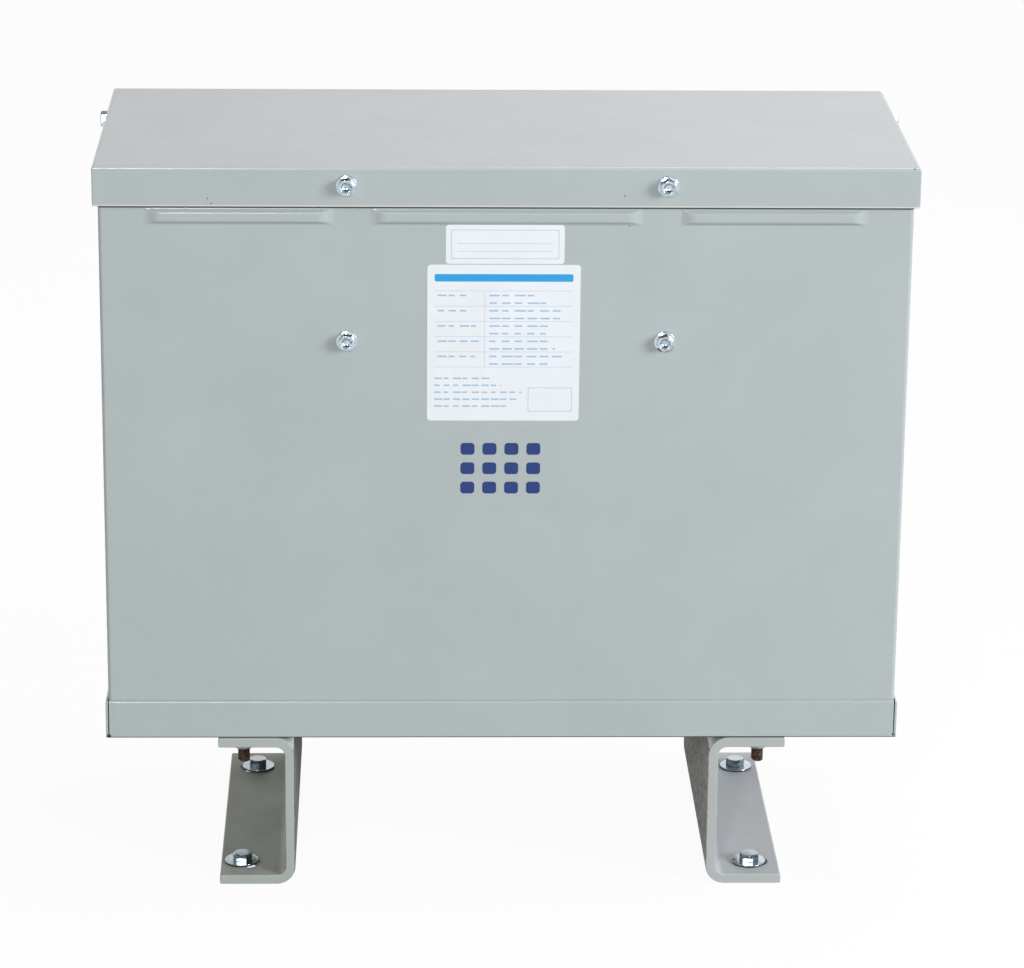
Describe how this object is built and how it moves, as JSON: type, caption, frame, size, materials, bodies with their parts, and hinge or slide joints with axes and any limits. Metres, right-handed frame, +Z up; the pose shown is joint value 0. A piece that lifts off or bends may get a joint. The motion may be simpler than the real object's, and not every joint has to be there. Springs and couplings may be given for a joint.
{
  "type": "dry-type power transformer",
  "caption": "Floor-standing dry-type power transformer: potted core in a sheet-steel case with a lipped top cover and base tray, carried on channel feet with anchor holes.",
  "frame": {"origin": "middle of the four anchor holes, on the floor plane under the feet", "axes": "+X to the right as seen from the front, along the longest side; +Y to the rear; +Z up"},
  "size_m": [0.53, 0.2248, 0.4852],
  "materials": {
    "case_paint": "semi-gloss grey paint",
    "zinc_steel": "zinc plate",
    "stud_steel": "dark, lightly rusted thread",
    "potting": "cast resin and silica"
  },
  "bodies": {
    "root": {"base_tray": "case_paint", "case_wrapper": "case_paint", "rear_panel": "case_paint", "top_cover": "case_paint", "core_block": "potting", "left_foot": "case_paint", "right_foot": "case_paint", "left_front_stud": "stud_steel", "left_rear_stud": "stud_steel", "right_front_stud": "stud_steel", "right_rear_stud": "stud_steel", "left_front_washer": "case_paint", "left_rear_washer": "case_paint", "right_front_washer": "case_paint", "right_rear_washer": "case_paint", "left_front_nut": "case_paint", "left_rear_nut": "case_paint", "right_front_nut": "case_paint", "right_rear_nut": "case_paint", "cover_screw_front_left": "zinc_steel", "cover_screw_front_right": "zinc_steel", "cover_screw_side_left": "zinc_steel", "cover_screw_side_right": "zinc_steel", "panel_screw_left": "zinc_steel", "panel_screw_right": "zinc_steel"}
  },
  "joints": []
}
